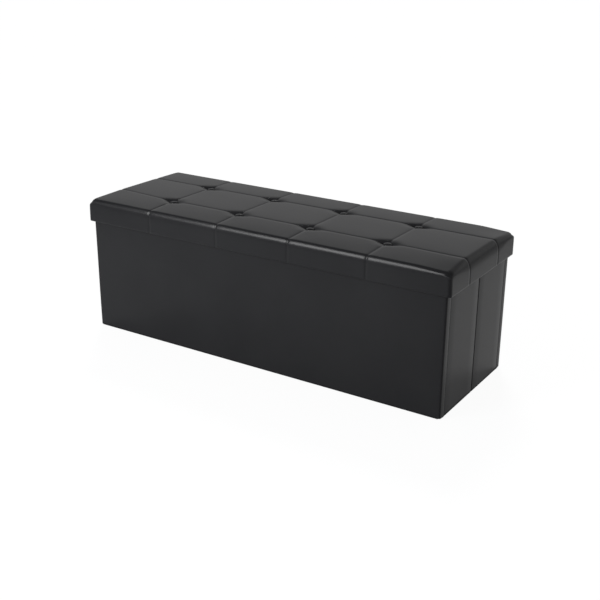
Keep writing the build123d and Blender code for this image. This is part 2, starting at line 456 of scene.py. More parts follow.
def leather(name, dark, light, roughness):
    """Black coated fabric with a fine pebble grain and faint creasing."""
    shader = Shader(name, roughness, specular=0.21)
    patches = shader.noise(scale=5.0, detail=5.0)
    grain = shader.cells(scale=620.0)
    pores = shader.noise(scale=1500.0, detail=2.0)
    creases = shader.noise(scale=70.0, detail=6.0)
    smoothest = roughness - 0.015
    roughest = roughness + 0.02
    shader.colour(shader.ramp(patches, dark, light, start=0.15, end=0.85))
    shader.rough(shader.span(patches, smoothest, roughest, start=0.15, end=0.85))
    shader.relief([(creases, 0.6 * MM, 0.04), (grain, 0.22 * MM, 0.09), (pores, 0.08 * MM, 0.08)])
    return shader.material


def felt(name, dark, light):
    """Thin non-woven lining: pressed fibres with a fine dotted bond."""
    shader = Shader(name, 0.95, specular=0.2)
    fibres = shader.noise(scale=900.0, detail=6.0)
    dots = shader.cells(scale=480.0)
    shader.colour(shader.ramp(fibres, dark, light))
    shader.rough(shader.span(fibres, 0.88, 0.98))
    shader.relief([(fibres, 0.3 * MM, 0.4), (dots, 0.3 * MM, 0.35)])
    return shader.material


def fibreboard(name):
    """Raw pressed board, brown with darker flecks."""
    shader = Shader(name, 0.85, specular=0.25)
    flecks = shader.noise(scale=420.0, detail=8.0)
    fibres = shader.noise(scale=1.0, detail=6.0, place=shader.stretched((90.0, 700.0, 700.0)))
    shader.colour(shader.ramp(flecks, (0.2, 0.13, 0.075), (0.36, 0.25, 0.15)))
    shader.rough(shader.span(fibres, 0.78, 0.92))
    shader.relief([(fibres, 0.2 * MM, 0.4)])
    return shader.material


def wire(name):
    """Bare drawn steel."""
    shader = Shader(name, 0.34, metallic=1.0)
    drawn = shader.noise(scale=800.0, detail=4.0)
    shader.colour(shader.ramp(drawn, (0.42, 0.42, 0.43), (0.62, 0.62, 0.62)))
    shader.rough(shader.span(drawn, 0.28, 0.45))
    shader.relief([(drawn, 0.1 * MM, 0.2)])
    return shader.material


def woven(name):
    """Black ribbon with a cross rib."""
    shader = Shader(name, 0.8, specular=0.25)
    rib = shader.add("ShaderNodeTexWave", wave_type="BANDS", bands_direction="Y")
    rib.inputs["Scale"].default_value = 320.0
    rib.inputs["Distortion"].default_value = 0.6
    shader.join(shader.place, rib.inputs["Vector"])
    threads = shader.noise(scale=1.0, detail=3.0, place=shader.stretched((1800.0, 500.0, 500.0)))
    shader.colour(shader.ramp(threads, (0.008, 0.008, 0.009), (0.022, 0.022, 0.024)))
    shader.rough(shader.span(threads, 0.7, 0.9))
    shader.relief([(rib.outputs["Fac"], 0.3 * MM, 0.6), (threads, 0.1 * MM, 0.4)])
    return shader.material


LEATHER = leather("black_faux_leather", (0.0085, 0.0085, 0.0092), (0.0125, 0.0125, 0.0132), 0.29)
SEAM_LEATHER = leather("seam_faux_leather", (0.006, 0.006, 0.0064), (0.009, 0.009, 0.0096), 0.46)
BUTTON_LEATHER = leather("button_faux_leather", (0.0085, 0.0085, 0.0092), (0.012, 0.012, 0.0126), 0.27)
LINING = felt("black_non_woven", (0.012, 0.012, 0.0125), (0.03, 0.03, 0.031))
BOARD = fibreboard("raw_fibreboard")
STEEL = wire("drawn_steel")
RIBBON = woven("black_ribbon")


def dress_solids():
    """Puts these materials on the solids that stay in view or inside."""
    by_slot = {"board": BOARD, "lining": LINING, "foam": LINING, "fastener": STEEL, "ribbon": RIBBON,
               "faux_leather": LEATHER, "seam_leather": SEAM_LEATHER, "button_leather": BUTTON_LEATHER}
    for row in frame["record"]["subparts"]:
        mesh = frame["nodes"][row["node"]].data
        mesh.materials.clear()
        mesh.materials.append(by_slot[row["material_slot"]])


# Lid cushion: leather over foam, drawn down along seams and at buttons

SKIRT_LOW, SKIRT_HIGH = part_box("lid_skirt_cover")
TOP_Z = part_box("lid_top_cover")[1].z
PAD_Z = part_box("lid_board")[1].z
HALF_X = SKIRT_HIGH.x + LID_PROUD
HALF_Y = SKIRT_HIGH.y + LID_PROUD
BUTTON_LOW, BUTTON_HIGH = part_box("tuft_buttons")
COLUMNS = np.linspace(BUTTON_LOW.x + BUTTON_R, BUTTON_HIGH.x - BUTTON_R, COLUMN_COUNT)
ROWS = np.linspace(BUTTON_LOW.y + BUTTON_R, BUTTON_HIGH.y - BUTTON_R, ROW_COUNT)


def stations(half, seams):
    """Places of grid lines from -half to half, closer beside seams and edges."""
    beside_seam = np.array((1.3, 2.8, 5.0, 8.5, 13.0)) * MM
    beside_edge = np.array((0, 3, 6, 9, 12.5, 16, 22, 28)) * MM
    count = 2 * int(half / GRID_STEP) + 1
    clear = 0.5 * GRID_STEP
    kept = []
    for place in np.linspace(-half, half, count):
        off_seams = min(abs(place - seam) for seam in seams) > beside_seam[-1] + clear
        if off_seams and half - abs(place) > beside_edge[-1] + clear:
            kept.append(place)
    for seam in seams:
        kept.extend([seam, *(seam + beside_seam), *(seam - beside_seam)])
    kept.extend([*(half - beside_edge), *(beside_edge - half)])
    return np.array(sorted(kept))


def lid_grid():
    """Points of a sharp-edged lid as (x, y, down), and its faces: a top grid and rows down its sides.

    Down goes from 0 at the top to 1 at the foot of the rounding and 2 at the hem.
    """
    xs = stations(HALF_X, COLUMNS)
    ys = stations(HALF_Y, ROWS)
    depths = (*EDGE_STEPS, *np.linspace(1, 2, SKIRT_ROWS + 1)[1:])
    points = [(x, y, 0.0) for y in ys for x in xs]
    faces = strip_faces(len(ys), len(xs), False)
    last_x = len(xs) - 1
    last_y = len(ys) - 1
    ring = [(i, 0) for i in range(last_x)] + [(last_x, j) for j in range(last_y)]
    ring += [(i, last_y) for i in range(last_x, 0, -1)] + [(0, j) for j in range(last_y, 0, -1)]
    above = [j * len(xs) + i for i, j in ring]
    for depth in depths:
        below = list(range(len(points), len(points) + len(ring)))
        points.extend((xs[i], ys[j], depth) for i, j in ring)
        for k in range(len(ring)):
            after = (k + 1) % len(ring)
            faces.append((above[k], below[k], below[after], above[after]))
        above = below
    return np.array(points), faces


def smooth_step(value, start, end):
    """From 0 to 1, gently, as a value goes from start to end."""
    share = np.clip((value - start) / (end - start), 0, 1)
    return share**2 * (3 - 2 * share)


def eased(edge, reach, rolled):
    """Distance in from an edge after the sharp edge is rolled over."""
    quarter = math.pi / 4
    inset = np.where(edge < reach, reach * (1 - np.cos(quarter * (1 + edge / reach))), edge)
    share = 1 - np.cos(quarter * (1 - rolled))
    return edge + (inset - edge) * share / (1 - math.cos(quarter))


def rounded_lid(sharp):
    """Rolls the edges and rounds the corners of a sharp lid. Gives points and normals."""
    x, y, down = sharp.T
    edge_x = HALF_X - abs(x)
    edge_y = HALF_Y - abs(y)
    over_end = edge_x / ROLL_AT_ENDS < edge_y / ROLL_AT_SIDES
    from_corner = np.where(over_end, edge_y, edge_x)
    fuller = np.where(over_end, DROP_AT_ENDS, DROP_AT_SIDES) - DROP_AT_CORNERS
    drop = DROP_AT_CORNERS + fuller * smooth_step(from_corner, CORNER_NEAR, CORNER_FAR)
    rolled = np.minimum(down, 1)
    edge = np.minimum(1, np.minimum(edge_x / ROLL_AT_ENDS, edge_y / ROLL_AT_SIDES))
    turn = math.pi / 4 * (1 + edge - rolled)
    skirt = TOP_Z - SKIRT_LOW.z - HEM_R - drop
    flare = FLARE_FRONT + (FLARE_REAR - FLARE_FRONT) * smooth_step(y, -HALF_Y, HALF_Y)
    z = TOP_Z - np.where(down < 1, drop * (1 - np.sin(turn)), drop + skirt * (down - 1))
    plan_x = HALF_X - eased(edge_x, ROLL_AT_ENDS, rolled)
    plan_y = HALF_Y - eased(edge_y, ROLL_AT_SIDES, rolled)
    foot = TOP_Z - DROP_AT_CORNERS
    corner_r = HEM_CORNER_R + (TOP_CORNER_R - HEM_CORNER_R) * smooth_step(z, foot, foot + CORNER_EASE)
    out_x = plan_x - (HALF_X - corner_r)
    out_y = plan_y - (HALF_Y - corner_r)
    corner = (out_x > 0) & (out_y > 0)
    length = np.maximum(np.hypot(out_x, out_y), TINY)
    pull = np.where(corner, np.maximum(out_x, out_y) / length, 1.0)
    plan_x = np.where(corner, HALF_X - corner_r + out_x * pull, plan_x)
    plan_y = np.where(corner, HALF_Y - corner_r + out_y * pull, plan_y)
    facing_x = np.where(corner, out_x / length, np.where(edge_x < edge_y, 1.0, 0.0))
    facing_y = np.where(corner, out_y / length, 1.0 - facing_x)
    lower = np.clip((foot + CORNER_EASE - z) / (foot + CORNER_EASE - SKIRT_LOW.z), 0, 1)
    plan_x += flare * facing_x * (1 - (1 - lower) ** 2)
    side_x = np.where(x < 0, -1.0, 1.0)
    side_y = np.where(y < 0, -1.0, 1.0)
    points = np.column_stack((plan_x * side_x, plan_y * side_y, z))
    flat = np.cos(turn)
    normals = np.column_stack((facing_x * side_x * flat, facing_y * side_y * flat, np.sin(turn)))
    return points, normals


def nearest(values, lines):
    """Distance to the nearest of some lines."""
    return np.min(np.abs(values[:, None] - np.asarray(lines)[None, :]), axis=1)


def seam_closeness(points, normals, width):
    """From 1 on a seam to 0 away from it. Columns run down the long sides, rows down the ends."""
    column = np.exp(-(nearest(points[:, 0], COLUMNS) / width) ** 2) * (1 - normals[:, 0] ** 2)
    row = np.exp(-(nearest(points[:, 1], ROWS) / width) ** 2) * (1 - normals[:, 1] ** 2)
    return np.maximum(column, row)


def button_closeness(points, along, across):
    """From 1 at a button to 0 away from it."""
    dx = nearest(points[:, 0], COLUMNS) / along
    dy = nearest(points[:, 1], ROWS) / across
    return np.exp(-(dx**2) - dy**2)


def pad_rise(x):
    """How far the pad stands over its solid at a place along the lid."""
    return TOP_RISE["left"] + (TOP_RISE["right"] - TOP_RISE["left"]) * (x / HALF_X + 1) / 2


def tufted(points, normals):
    """Draws the cover in along its seams and at its buttons."""
    up = np.clip(normals[:, 2], 0, 1)
    on_skirt = VALLEY_ON_SKIRT + (1 - VALLEY_ON_SKIRT) * up
    over_ends = 1 - (1 - VALLEY_AT_ENDS) * abs(normals[:, 0])
    valley = VALLEY_DEPTH * seam_closeness(points, normals, VALLEY_WIDTH) * on_skirt * over_ends
    dimple = DIMPLE_DEPTH * button_closeness(points, DIMPLE_ALONG, DIMPLE_ACROSS) * up
    from_button = np.hypot(nearest(points[:, 0], COLUMNS), nearest(points[:, 1], ROWS))
    pit = PIT_DEPTH * np.exp(-((from_button / PIT_R) ** 4))
    drawn = points - normals * (valley + dimple + pit)[:, None]
    height = np.clip((points[:, 2] - TOP_Z) / DROP_AT_CORNERS + 1, 0, 1)
    at_right = smooth_step(points[:, 0], HALF_X - DROOP_REACH, HALF_X)
    sag = np.zeros(len(points))
    for end, sign in ENDS.items():
        out = sign * points[:, 1]
        sag += CROWN[end] * np.clip((out - ROWS[-1]) / (HALF_Y - ROWS[-1]), 0, 1)
        sag += DROOP[end] * at_right * smooth_step(out, HALF_Y - DROOP_REACH, HALF_Y)
    drawn[:, 2] += (pad_rise(points[:, 0]) - sag) * height
    return drawn


def sewn_down(points, normals):
    """How firmly each point is held while the cover inflates, from 0 to 1 where it is fast."""
    on_side = normals[:, 2] < HELD_BELOW
    on_seam = seam_closeness(points, normals, SEAM_REACH) > SEAM_NEAR
    on_top = abs(normals[:, 0]) < SEAM_LEAN
    at_button = button_closeness(points, BUTTON_R, BUTTON_R) > BUTTON_NEAR
    return np.where(on_side | at_button, 1.0, SEAM_HOLD * (on_seam & on_top))


def puffed(piece, pins):
    """Inflates the cover over its foam as cloth that is held where it is sewn."""
    rest = coordinates(piece.data)
    group = piece.vertex_groups.new(name="sewn")
    for index, weight in enumerate(pins):
        group.add([index], float(weight), "REPLACE")
    cloth = piece.modifiers.new("cover", "CLOTH")
    settings = cloth.settings
    settings.quality = 6
    settings.mass = 0.3
    settings.tension_stiffness = 20
    settings.compression_stiffness = 20
    settings.shear_stiffness = 10
    settings.bending_stiffness = 1.5
    settings.use_pressure = True
    settings.uniform_pressure_force = PUFF_PRESSURE
    settings.vertex_group_mass = "sewn"
    settings.pin_stiffness = 1.0
    settings.effector_weights.gravity = 0
    cloth.collision_settings.use_collision = False
    scene = bpy.context.scene
    for number in range(1, PUFF_FRAMES + 1):
        scene.frame_set(number)
    graph = bpy.context.evaluated_depsgraph_get()
    moved = coordinates(piece.evaluated_get(graph).to_mesh()) - rest
    piece.modifiers.remove(cloth)
    piece.vertex_groups.clear()
    scene.frame_set(1)
    reach = np.linalg.norm(moved, axis=1)
    moved *= np.minimum(1, PUFF_CAP / np.maximum(reach, TINY))[:, None]
    move_points(piece.data, rest + moved)


def strayed(points):
    """Bends the front row of seams near the ends of the lid, as hand-drawn tufting does."""
    x, y, _ = points.T
    near = np.exp(-(((y - ROWS[0]) / ROW_BEND_WIDTH) ** 2)) * (1 - (y / HALF_Y) ** 4)
    bend = np.zeros(len(points))
    for side, sign in SIDES.items():
        bend += ROW_BEND[side] * smooth_step(sign * x, ROW_BEND_FROM, HALF_X)
    moved = points.copy()
    moved[:, 1] += bend * near
    return moved


def sewn(mesh):
    """Pinches narrow lines into the cover where it is sewn, also down the skirt."""
    points = coordinates(mesh)
    normals = point_values(mesh, "normal")
    up = np.clip(normals[:, 2], 0, 1)
    pinch = PINCH_DEPTH * seam_closeness(points, normals, PINCH_WIDTH) * up**2
    groove = SKIRT_SEAM_DEPTH * seam_closeness(points, normals, SKIRT_SEAM_WIDTH) * (1 - up**2)
    move_points(mesh, points - normals * (pinch + groove)[:, None])


def closed_under(mesh):
    """Turns the hem in under the skirt, takes it up inside and closes the form over the lid board."""
    nip = 0.3 * HEM_R
    steps = ((nip, SKIRT_LOW.z + nip), (HEM_R, SKIRT_LOW.z), (TURNED_IN, SKIRT_LOW.z), (TURNED_IN, PAD_Z))
    form = bmesh.new()
    form.from_mesh(mesh)
    rim = [edge for edge in form.edges if edge.is_boundary]
    start = {}
    for edge in rim:
        for vert in edge.verts:
            start[vert] = vert.co.copy()
    for inset, z in steps:
        grown = bmesh.ops.extrude_edge_only(form, edges=rim)["geom"]
        rim = [item for item in grown if isinstance(item, bmesh.types.BMEdge) and item.is_boundary]
        fresh = {vert for edge in rim for vert in edge.verts}
        moved = {}
        for vert in fresh:
            old = next(other for other in (e.other_vert(vert) for e in vert.link_edges) if other in start)
            out = start[old]
            inner = Vector((max(-HALF_X + HEM_CORNER_R, min(HALF_X - HEM_CORNER_R, out.x)),
                            max(-HALF_Y + HEM_CORNER_R, min(HALF_Y - HEM_CORNER_R, out.y)), 0))
            away = (Vector((out.x, out.y, 0)) - inner).normalized()
            place = inner + away * HEM_CORNER_R if inset == TURNED_IN else Vector((out.x, out.y, 0))
            vert.co = place - away * inset + Vector((0, 0, z))
            moved[vert] = out
        start = moved
    bmesh.ops.edgeloop_fill(form, edges=rim)
    bmesh.ops.recalc_face_normals(form, faces=form.faces)
    form.to_mesh(mesh)
    form.free()


def lid_cushion():
    """The padded top and its skirt, in one continuous leather cover."""
    sharp, faces = lid_grid()
    points, normals = rounded_lid(sharp)
    mesh = mesh_from(tufted(points, normals), faces)
    smooth(mesh)
    piece = link_mesh("lid_cushion", mesh, LEATHER)
    puffed(piece, sewn_down(points, normals))
    finer = piece.modifiers.new("finer", "SUBSURF")
    finer.levels = 1
    applied(piece)
    sewn(piece.data)
    move_points(piece.data, strayed(coordinates(piece.data)))
    closed_under(piece.data)
    smooth(piece.data)
    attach(piece, "lid")
    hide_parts("lid_top_cover", "lid_skirt_cover", "lid_foam")


# Buttons

def button_profile():
    """Radius and height of a covered button, from its crimped rim under the edge up to near its crown."""
    rise = BUTTON_HIGH.z - BUTTON_LOW.z
    rim = [(0.62, -0.25), (0.86, -0.12), (0.97, 0.06), (1.0, 0.26), (0.965, 0.44)]
    rim_r, rim_h = rim[-1]
    start = 0.32
    angles = np.linspace(start, math.pi / 2, DOME_LEVELS + 2)[1:-1]
    dome = [(rim_r * math.cos(a) / math.cos(start), rim_h + (1 - rim_h) * math.sin(a)) for a in angles]
    return [(r * BUTTON_R, h * rise) for r, h in rim + dome]


def button(x, y):
    """Points and faces of one covered button, with faint gathers of the leather at its rim."""
    profile = button_profile()
    base_z = BUTTON_LOW.z + BUTTON_LIFT + pad_rise(x)
    points = []
    for level, (radius, height) in enumerate(profile):
        depth = GATHER_DEPTH * max(0.0, 1 - level / GATHERED_LEVELS)
        for angle in np.linspace(0, 2 * math.pi, BUTTON_SECTORS, endpoint=False):
            r = radius * (1 + depth * math.cos(GATHERS * angle))
            points.append((x + r * math.cos(angle), y + r * math.sin(angle), base_z + height))
    top = len(points) - BUTTON_SECTORS
    crown = len(points)
    points.append((x, y, base_z + BUTTON_HIGH.z - BUTTON_LOW.z))
    faces = strip_faces(len(profile), BUTTON_SECTORS, True)
    for sector in range(BUTTON_SECTORS):
        faces.append((top + sector, top + (sector + 1) % BUTTON_SECTORS, crown))
    faces.append(tuple(reversed(range(BUTTON_SECTORS))))
    return points, faces


def buttons():
    """The covered buttons of the lid."""
    mesh = mesh_from(*joined(button(x, y) for x in COLUMNS for y in ROWS))
    smooth(mesh, sharp_degrees=50)
    piece = link_mesh("covered_buttons", mesh, BUTTON_LEATHER)
    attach(piece, "lid")
    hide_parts("tuft_buttons")


# Leather over the walls

FRONT_LOW, FRONT_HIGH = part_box("front_cover")
HEM_Z = FRONT_LOW.z
WALL_TOP = FRONT_HIGH.z
BOX_X = FRONT_HIGH.x + END_PROUD
BOX_Y = WALL_PROUD - FRONT_LOW.y
INNER_Y = -FRONT_HIGH.y
HALF_PANEL_LOW, HALF_PANEL_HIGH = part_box("right_rear_cover")
INNER_X = HALF_PANEL_LOW.x
HINGE_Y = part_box("back_right_corner_welt")[0].y + BEAD_R
HEM_X = INNER_X - HEM_INSET


def rounded_outline(corners, step):
    """Points and outward normals round a closed outline of right-angled corners, anticlockwise.

    A corner is (x, y, radius).
    """
    points = []
    normals = []
    count = len(corners)
    for i, (x, y, radius) in enumerate(corners):
        here = np.array((x, y))
        back = np.array(corners[i - 1][:2]) - here
        ahead = np.array(corners[(i + 1) % count][:2]) - here
        length = np.linalg.norm(ahead)
        back = back / np.linalg.norm(back)
        ahead = ahead / length
        convex = 1.0 if ahead[0] * back[1] - ahead[1] * back[0] > 0 else -1.0
        centre = here + (back + ahead) * radius
        for angle in np.linspace(0, math.pi / 2, CORNER_POINTS):
            spoke = -ahead * math.cos(angle) - back * math.sin(angle)
            points.append(centre + spoke * radius)
            normals.append(spoke * convex)
        run = length - radius - corners[(i + 1) % count][2]
        spaces = max(1, int(run / step))
        for k in range(1, spaces):
            points.append(here + ahead * (radius + run * k / spaces))
            normals.append(np.array((ahead[1], -ahead[0])))
    return np.array(points), np.array(normals)


def raised(plan, z):
    """The points of a plan at a height."""
    return np.column_stack((plan, np.full(len(plan), z)))


def ripple(points):
    """A faint unevenness of leather over board, none at its edges."""
    x, y, z = points.T
    along = x + RIPPLE_SLANT * y
    wave_along = np.sin(WAVES_ALONG * along + SWAY_ALONG * np.sin(SWAYS_UP * z))
    wave_up = np.sin(WAVES_UP * z + SWAY_UP * np.sin(SWAYS_ALONG * along))
    under_top = np.clip((WALL_TOP - z) / RIPPLE_TOP, 0, 1)
    off_crease = np.clip((abs(y) - RIPPLE_CLEAR) / RIPPLE_CREASE, 0, 1)
    return RIPPLE * wave_along * wave_up * under_top * off_crease


def with_stops(plan, facing, stops):
    """The outline with points added where it passes some distances from the middle plane."""
    more_plan = []
    more_facing = []
    for i in range(len(plan)):
        here = plan[i]
        after = plan[(i + 1) % len(plan)]
        run = after[0] - here[0]
        shares = [0.0]
        for stop in (*stops, *(-stop for stop in stops)):
            if min(here[0], after[0]) + ROUND_OFF < stop < max(here[0], after[0]) - ROUND_OFF:
                shares.append((stop - here[0]) / run)
        for share in sorted(shares):
            more_plan.append(here + (after - here) * share)
            more_facing.append(facing[i])
    return np.array(more_plan), np.array(more_facing)


def wrapped(name, corners, low_of, stops=()):
    """Leather round a wall panel and over its top edge. It begins at the height low_of(x, y)."""
    plan, facing = with_stops(*rounded_outline(corners, PANEL_STEP), stops)
    count = len(plan)
    low = np.array([low_of(x, y) for x, y in plan])
    shoulder = WALL_TOP - RIM_R
    rows = []
    for share in np.linspace(0, 1, PANEL_ROWS + 1):
        flat = raised(plan, low + (shoulder - low) * share)
        rows.append(flat + raised(facing, 0.0) * ripple(flat)[:, None])
    for angle in EDGE_ANGLES:
        inset = plan - facing * RIM_R * (1 - math.cos(angle))
        rows.append(raised(inset, shoulder + RIM_R * math.sin(angle)))
    faces = strip_faces(len(rows), count, True)
    last = (len(rows) - 1) * count
    faces.append(tuple(range(last, last + count)))
    piece = link_mesh(name, mesh_from(np.concatenate(rows), faces), LEATHER)
    thicken(piece, SHEET_T)
    smooth(piece.data, sharp_degrees=45)
    return piece


def hem(name, x_span, y_span, body, node):
    """The soft turned edge under a panel."""
    radius = HEM_EDGE_R
    low_x, high_x = sorted(x_span)
    low_y, high_y = sorted(y_span)
    corners = [(low_x, low_y), (high_x, low_y), (high_x, high_y), (low_x, high_y)]
    plan, facing = rounded_outline([(x, y, radius) for x, y in corners], PANEL_STEP)
    count = len(plan)
    rows = [raised(plan, HEM_Z)]
    for angle in (0.0, *EDGE_ANGLES):
        inset = plan - facing * radius * (1 - math.cos(angle))
        rows.append(raised(inset, radius * (1 - math.sin(angle))))
    faces = [tuple(reversed(face)) for face in strip_faces(len(rows), count, True)]
    last = (len(rows) - 1) * count
    faces.append(tuple(reversed(range(last, last + count))))
    faces.append(tuple(range(count)))
    piece = link_mesh(name, mesh_from(np.concatenate(rows), faces), SEAM_LEATHER)
    smooth(piece.data, sharp_degrees=45)
    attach(piece, body)
    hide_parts(node)
    if body != "back_wall":
        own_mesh(piece)


def long_wall(wall, y_sign):
    """Leather over a long wall, round its corners and back to the hinge lines of the end panels."""
    right = [
        (BOX_X, BOX_Y, WALL_CORNER_R),
        (BOX_X, HINGE_Y, HINGE_EDGE_R),
        (INNER_X, HINGE_Y, HINGE_EDGE_R),
        (INNER_X, INNER_Y, INNER_EDGE_R),
    ]
    left = [(-x, y, radius) for x, y, radius in reversed(right)]
    corners = [(x, y * y_sign, radius) for x, y, radius in right + left]
    if y_sign > 0:
        corners.reverse()

    def low_of(x, y):
        if abs(x) > HEM_X:
            over_corner = min(abs(x) - BOX_X, abs(y) - BOX_Y) + WALL_CORNER_R
            return FOOT_LIFT if over_corner > -ROUND_OFF else 0.0
        return HEM_Z if abs(y) > (INNER_Y + BOX_Y) / 2 else WALL_TOP - RIM_TURN

    body = f"{wall}_wall"
    piece = wrapped(f"{wall}_wall_leather", corners, low_of, (HEM_X, HEM_X + HEM_STEP))
    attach(piece, body)
    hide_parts(f"{wall}_cover", f"{wall}_left_corner_welt", f"{wall}_right_corner_welt")
    hem(f"{wall}_wall_hem", (-HEM_X, HEM_X), (y_sign * INNER_Y, y_sign * BOX_Y), body, f"{wall}_hem")


def end_half(side, end):
    """Leather over one half of an end panel."""
    x_sign = SIDES[side]
    y_sign = ENDS[end]
    crease_y = HALF_PANEL_LOW.y
    hinge_y = HALF_PANEL_HIGH.y
    corners = [
        (INNER_X, crease_y, INNER_EDGE_R),
        (BOX_X, crease_y, CREASE_R),
        (BOX_X, hinge_y, HINGE_EDGE_R),
        (INNER_X, hinge_y, INNER_EDGE_R),
    ]
    corners = [(x * x_sign, y * y_sign, radius) for x, y, radius in corners]
    if x_sign * y_sign < 0:
        corners.reverse()

    def low_of(x, y):
        return WALL_TOP - RIM_TURN if abs(x) < INNER_X + MM else HEM_Z

    name = f"{side}_{end}"
    piece = wrapped(f"{name}_leather", corners, low_of)
    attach(piece, f"{name}_half")
    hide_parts(f"{name}_cover")
    hem(f"{name}_panel_hem", (x_sign * INNER_X, x_sign * BOX_X), (y_sign * crease_y, y_sign * hinge_y),
        f"{name}_half", f"{name}_hem")


# Soft hinges and the pull tab

def hinge_strip(name, side, from_y, to_y, sink):
    """A leather hinge in the gap between two panels, from the inner face to just under the outer one."""
    x_sign = SIDES[side]
    inner = x_sign * (INNER_X + STRIP_ROOM)
    outer = x_sign * (BOX_X - sink)
    across = np.linspace(from_y, to_y, STRIP_STEPS + 1)
    ring = [(inner, y) for y in across] + [(outer, y) for y in across[::-1]]
    heights = np.linspace(HEM_Z, WALL_TOP - RIM_R, STRIP_ROWS + 1)
    rings = [[(x, y, z) for x, y in ring] for z in heights]
    piece = flat_tube(name, rings, SEAM_LEATHER, sharp_degrees=40)
    return piece


def hinges():
    """The sewn hinges at the creases and corners.

    The front right corner opens, so its strip stays on the wall.
    """
    crease_y = HALF_PANEL_LOW.y - STRIP_ROOM
    half_y = HALF_PANEL_HIGH.y + STRIP_ROOM
    wall_y = HINGE_Y - STRIP_ROOM
    for side in SIDES:
        middle = hinge_strip(f"{side}_crease_hinge", side, crease_y, -crease_y, CREASE_SINK)
        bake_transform(middle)
        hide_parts(f"{side}_crease_seam")
        for end, y_sign in ENDS.items():
            wall = "back_wall" if end == "rear" else "front_wall"
            start = (0, y_sign * wall_y, 0)
            finish = (0, y_sign * half_y, 0)
            name = f"{side}_{end}_corner_hinge"
            corner = hinge_strip(name, side, start[1], finish[1], CORNER_SINK[end])
            if (side, end) == ("right", "front"):
                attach(corner, wall)
            else:
                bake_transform(corner)


def folded_sheet(name, path, x_span, thickness, material):
    """A strip of fabric along a path of (y, z) points."""
    path = np.array(path)
    along = np.gradient(path, axis=0)
    along /= np.linalg.norm(along, axis=1)[:, None]
    aside = np.column_stack((-along[:, 1], along[:, 0])) * thickness / 2
    ring = np.concatenate((path + aside, (path - aside)[::-1]))
    rings = [[(x, y, z) for y, z in ring] for x in np.linspace(*x_span, FABRIC_COLUMNS)]
    return flat_tube(name, rings, material, sharp_degrees=50)


def arc(centre, radius, start_degrees, end_degrees, count=6):
    """Points (y, z) on part of a circle."""
    angles = np.radians(np.linspace(start_degrees, end_degrees, count))
    return [(centre[0] + radius * math.cos(a), centre[1] + radius * math.sin(a)) for a in angles]


def base_tape():
    """The tape that the base flap turns on, down the back wall and over the flap."""
    low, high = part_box("base_hinge_seam")
    wall_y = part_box("back_lining")[0].y - TAPE_ROOM - TAPE_T / 2
    flap_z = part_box("base_lining")[1].z + TAPE_ROOM + TAPE_T / 2
    centre = (wall_y - TAPE_BEND_R, flap_z + TAPE_BEND_R)
    part_way = 0.4 * TAPE_REACH
    path = [(wall_y, centre[1] + TAPE_REACH), (wall_y, centre[1] + part_way)]
    path += arc(centre, TAPE_BEND_R, 0, -90)
    path += [(centre[0] - part_way, flap_z), (centre[0] - TAPE_REACH, flap_z)]
    piece = folded_sheet("base_hinge_tape", path, (low.x, high.x), TAPE_T, SEAM_LEATHER)
    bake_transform(piece)
    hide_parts("base_hinge_seam")


def stitch(middle, ahead):
    """Points and faces of one raised stitch."""
    swells = ((-0.5, 0.25), (-0.35, 0.85), (0, 1.0), (0.35, 0.85), (0.5, 0.25))
    sides = 8
    aside = ahead.cross(Vector((0, 0, 1)))
    points = []
    for share, swell in swells:
        for angle in np.linspace(0, 2 * math.pi, sides, endpoint=False):
            spoke = aside * math.cos(angle) + Vector((0, 0, math.sin(angle)))
            points.append(middle + ahead * share * STITCH_LENGTH + spoke * swell * STITCH_R)
    last = len(points) - sides
    faces = strip_faces(len(swells), sides, True)
    faces.append(tuple(reversed(range(sides))))
    faces.append(tuple(range(last, last + sides)))
    return points, faces


def stitch_row(start, end):
    """Points and faces of a row of raised stitches from one (x, y, z) to another."""
    run = Vector(end) - Vector(start)
    number = max(1, round(run.length / STITCH_PITCH))
    middles = [Vector(start) + run * (i + 0.5) / number for i in range(number)]
    return joined(stitch(middle, run.normalized()) for middle in middles)


def pull_tab():
    """A ribbon doubled over at its free end and sewn down at the other."""
    low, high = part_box("base_pull_tab")
    bend_r = (high.z - low.z - RIBBON_T) / 2
    lower = low.z + RIBBON_T / 2
    upper = lower + 2 * bend_r
    tip = low.y + RIBBON_T / 2 + bend_r
    path = [(high.y, lower), (0.5 * (high.y + tip), lower), (tip, lower)]
    path += arc((tip, lower + bend_r), bend_r, 270, 90)[1:]
    path += [(0.5 * (high.y + tip), upper), (high.y - RIBBON_SHORT, upper)]
    piece = folded_sheet("base_pull_ribbon", path, (low.x, high.x), RIBBON_T, RIBBON)
    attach(piece, "base_flap")
    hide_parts("base_pull_tab")
    left = low.x + STITCH_MARGIN
    right = high.x - STITCH_MARGIN
    near = high.y - STITCHED_TO
    far = high.y - STITCHED_FROM
    level = upper + RIBBON_T / 2
    box = [(left, near, level), (right, near, level), (right, far, level), (left, far, level)]
    lines = [(box[i], box[(i + 1) % 4]) for i in range(4)] + [(box[0], box[2]), (box[1], box[3])]
    mesh = mesh_from(*joined(stitch_row(start, end) for start, end in lines))
    outward(mesh)
    smooth(mesh, sharp_degrees=60)
    thread = link_mesh("base_pull_stitches", mesh, RIBBON)
    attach(thread, "base_flap")


# Stage, light and camera

